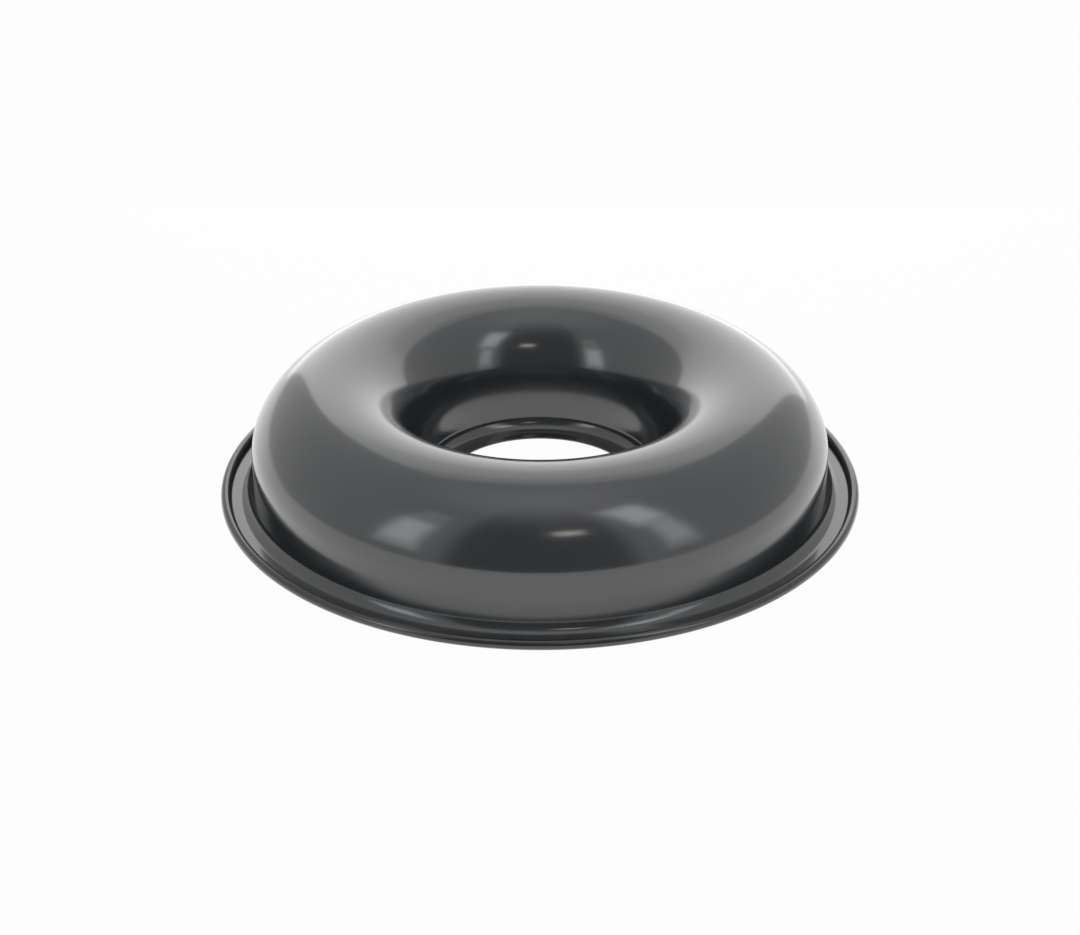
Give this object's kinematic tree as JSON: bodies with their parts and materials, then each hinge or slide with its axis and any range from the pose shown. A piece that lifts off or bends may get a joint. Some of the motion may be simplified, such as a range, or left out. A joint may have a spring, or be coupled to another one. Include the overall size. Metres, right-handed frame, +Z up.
{
  "type": "ring cake mould",
  "caption": "Round pressed steel ring mould for a large donut cake, with a centre hole and a wired rolled rim, lying on its rim.",
  "frame": {"origin": "centre of the plane that the rolled rim rests on, on the ring's axis", "axes": "+Z up along the ring's axis of symmetry, towards the closed crest; the mould lies upside down on its rim"},
  "size_m": [0.26, 0.26, 0.05],
  "materials": {
    "nonstick_coat": "glossy near-black non-stick coat on steel sheet",
    "bare_wire": "dull annealed steel wire"
  },
  "bodies": {
    "root": {"pan_shell": "nonstick_coat", "rim_wire": "bare_wire"}
  },
  "joints": []
}
